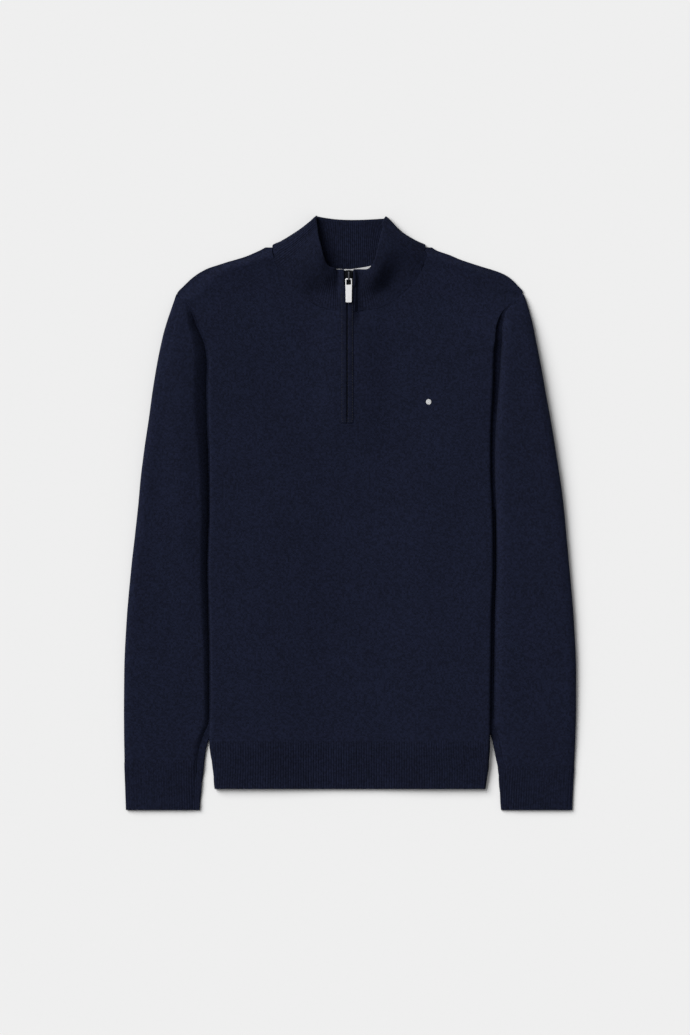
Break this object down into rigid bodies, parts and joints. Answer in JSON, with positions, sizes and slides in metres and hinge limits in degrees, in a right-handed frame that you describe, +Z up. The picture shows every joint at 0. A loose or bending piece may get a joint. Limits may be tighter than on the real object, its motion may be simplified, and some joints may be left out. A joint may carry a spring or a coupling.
{
  "type": "quarter zip sweater",
  "caption": "Fine-knit sweater laid flat on its back, with a stand collar open at a short front zip, ribbed hem and cuffs, and sleeves straight down beside the body.",
  "frame": {"origin": "middle of the garment's outline as it lies, on the surface beneath it", "axes": "+Y from the hem to the collar, +X towards the wearer's left, +Z up out of the front"},
  "size_m": [0.5728, 0.7533, 0.0251],
  "materials": {
    "navy_knit": "fine plain knit, matt, with a soft nap",
    "navy_rib": "single rib, matt",
    "navy_facing": "fine knit facing, pressed flat",
    "pale_tape": "woven tape, matt",
    "dark_tape": "woven zip tape",
    "zip_teeth": "satin nylon coil",
    "slider_metal": "satin metal",
    "pull_metal": "brushed silver metal"
  },
  "bodies": {
    "garment": {"front_panel": "navy_knit", "back_panel": "navy_knit", "sleeve_left": "navy_knit", "sleeve_right": "navy_knit", "hem_rib_front": "navy_rib", "hem_rib_back": "navy_rib", "cuff_left": "navy_rib", "cuff_right": "navy_rib", "collar": "navy_rib", "neck_tape": "pale_tape", "zip_band_left": "navy_facing", "zip_band_right": "navy_facing", "zip_tape_left": "dark_tape", "zip_tape_right": "dark_tape", "zip_chain": "zip_teeth", "zip_slider": "slider_metal"},
    "pull": {"pull_tab": "pull_metal"}
  },
  "joints": [
    {"name": "pull_swing", "type": "hinge", "parent": "garment", "child": "pull", "pos_m": [-0.0024, 0.29785, 0.01575], "axis": [-1, 0, 0], "range_deg": [0, 150]}
  ]
}
